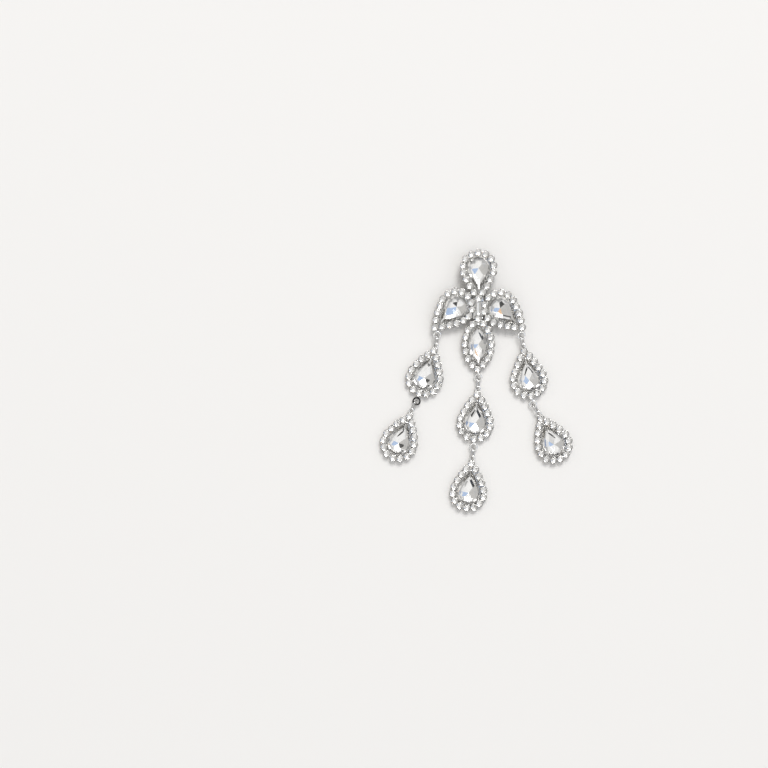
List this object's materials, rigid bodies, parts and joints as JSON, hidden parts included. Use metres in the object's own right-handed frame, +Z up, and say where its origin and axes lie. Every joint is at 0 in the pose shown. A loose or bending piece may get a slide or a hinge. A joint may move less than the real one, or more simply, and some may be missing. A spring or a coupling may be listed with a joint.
{
  "type": "chandelier earring",
  "caption": "Clip-on chandelier earring: a cluster of haloed crystals carries three strands of haloed pear drops; it lies face up.",
  "frame": {"origin": "on the surface that the earring lies on, under the middle of its outline", "axes": "+Z up, out of the stones' faces; +Y towards the top petal; +X to the right, seen from above"},
  "size_m": [0.064, 0.0874, 0.0074],
  "materials": {
    "rhodium": "bright rhodium plating on cast brass",
    "crystal": "cut clear crystal, foil-backed"
  },
  "bodies": {
    "root": {"cluster_frame": "rhodium", "top_stone": "crystal", "navette_stone": "crystal", "centre_stone": "crystal", "left_wing_stone": "crystal", "right_wing_stone": "crystal", "ear_clip": "rhodium", "left_upper_link": "rhodium", "left_upper_frame": "rhodium", "left_upper_stone": "crystal", "left_lower_link": "rhodium", "left_lower_frame": "rhodium", "left_lower_stone": "crystal", "centre_upper_link": "rhodium", "centre_upper_frame": "rhodium", "centre_upper_stone": "crystal", "centre_lower_link": "rhodium", "centre_lower_frame": "rhodium", "centre_lower_stone": "crystal", "right_upper_link": "rhodium", "right_upper_frame": "rhodium", "right_upper_stone": "crystal", "right_lower_link": "rhodium", "right_lower_frame": "rhodium", "right_lower_stone": "crystal"}
  },
  "joints": []
}
